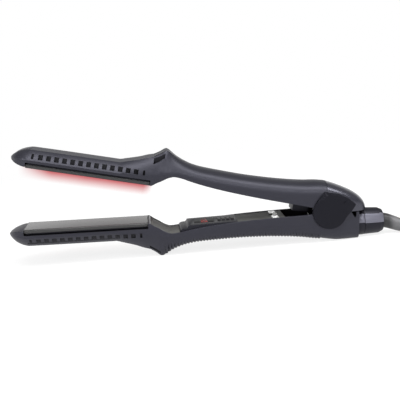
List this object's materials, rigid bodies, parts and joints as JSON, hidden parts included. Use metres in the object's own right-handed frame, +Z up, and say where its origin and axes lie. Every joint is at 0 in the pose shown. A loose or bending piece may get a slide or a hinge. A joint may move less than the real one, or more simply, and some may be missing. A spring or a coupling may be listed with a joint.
{
  "type": "hair straightener",
  "caption": "Infrared hair straightener with hinged arms, floating flat plates, a ribbed grip, a control pod, a swivel barrel and a cord tied in a hank.",
  "frame": {"origin": "on the floor, on the flat sole under the rear of the lower arm", "axes": "+X from the nose towards the cord, +Y across the arms, +Z up"},
  "size_m": [0.4877, 0.0652, 0.0964],
  "materials": {
    "body": "satin",
    "trim": "satin",
    "cover": "matte",
    "cap": "satin",
    "collar": "satin",
    "window": "polished",
    "button": "satin",
    "soft": "matte",
    "plate": "satin",
    "steel": "brushed",
    "brass": "satin",
    "board": "gloss",
    "ceramic": "matte",
    "silicone": "matte",
    "lead": "matte",
    "lens": "polished",
    "cord": "matte"
  },
  "bodies": {
    "lower_arm": {"lower_shell": "body", "grip_strip": "soft", "lower_neck_cover": "cover", "lower_rear_cover": "cover", "control_bezel": "trim", "display_window": "window", "switch_base": "steel", "control_board": "board", "heater_leads": "lead", "hinge_yoke": "trim", "hinge_bushes": "brass", "swivel_socket": "trim", "lower_cushions": "silicone", "thermal_fuse": "steel"},
    "upper_arm": {"upper_shell": "body", "upper_hood": "body", "upper_cover": "cover", "wire_guard": "cover", "near_cap": "cap", "far_cap": "cap", "hinge_pin": "steel", "torsion_spring": "steel", "case_screws": "steel", "upper_leads": "lead", "upper_cushions": "silicone"},
    "lower_float": {"lower_plate": "plate", "lower_carrier": "trim", "lower_heater": "ceramic"},
    "upper_float": {"upper_plate": "plate", "upper_carrier": "trim", "upper_heater": "ceramic", "led_board": "board", "led_lens": "lens"},
    "power_key": {"power_button": "button"},
    "mode_key": {"mode_button": "button"},
    "minus_key": {"minus_button": "button"},
    "plus_key": {"plus_button": "button"},
    "switch_knob": {"slide_switch": "button"},
    "swivel": {"swivel_spindle": "trim", "swivel_collar": "collar", "swivel_top": "body", "swivel_bottom": "body", "strain_relief": "cord", "cord": "cord", "cord_hank": "cord", "cord_tail": "cord", "hank_tie": "soft", "plug_body": "cord", "plug_pins": "brass"}
  },
  "joints": [
    {"name": "jaw_hinge", "type": "hinge", "parent": "lower_arm", "child": "upper_arm", "pos_m": [-0.011, 0, 0.0253], "axis": [0, 1, 0], "range_deg": [-11.6, 0], "stiffness_Nm_per_rad": 0.5, "springref_deg": 40.11},
    {"name": "lower_plate_float", "type": "slide", "parent": "lower_arm", "child": "lower_float", "axis": [-0.029, 0, -0.9996], "range_m": [0, 0.0012], "stiffness_N_per_m": 2000, "springref_m": -0.001},
    {"name": "upper_plate_float", "type": "slide", "parent": "upper_arm", "child": "upper_float", "axis": [0.2294, 0, 0.9733], "range_m": [0, 0.0012], "stiffness_N_per_m": 2000, "springref_m": -0.001},
    {"name": "power_press", "type": "slide", "parent": "lower_arm", "child": "power_key", "axis": [-0.029, 0, -0.9996], "range_m": [0, 0.0005], "stiffness_N_per_m": 800, "springref_m": -0.0005},
    {"name": "mode_press", "type": "slide", "parent": "lower_arm", "child": "mode_key", "axis": [-0.029, 0, -0.9996], "range_m": [0, 0.0005], "stiffness_N_per_m": 800, "springref_m": -0.0005},
    {"name": "minus_press", "type": "slide", "parent": "lower_arm", "child": "minus_key", "axis": [-0.029, 0, -0.9996], "range_m": [0, 0.0005], "stiffness_N_per_m": 800, "springref_m": -0.0005},
    {"name": "plus_press", "type": "slide", "parent": "lower_arm", "child": "plus_key", "axis": [-0.029, 0, -0.9996], "range_m": [0, 0.0005], "stiffness_N_per_m": 800, "springref_m": -0.0005},
    {"name": "switch_slide", "type": "slide", "parent": "lower_arm", "child": "switch_knob", "axis": [-0.9996, 0, 0.029], "range_m": [0, 0.003]},
    {"name": "cord_swivel", "type": "hinge", "parent": "lower_arm", "child": "swivel", "pos_m": [0.01412, 0, 0.01194], "axis": [0.9996, 0, -0.029], "continuous": true}
  ]
}
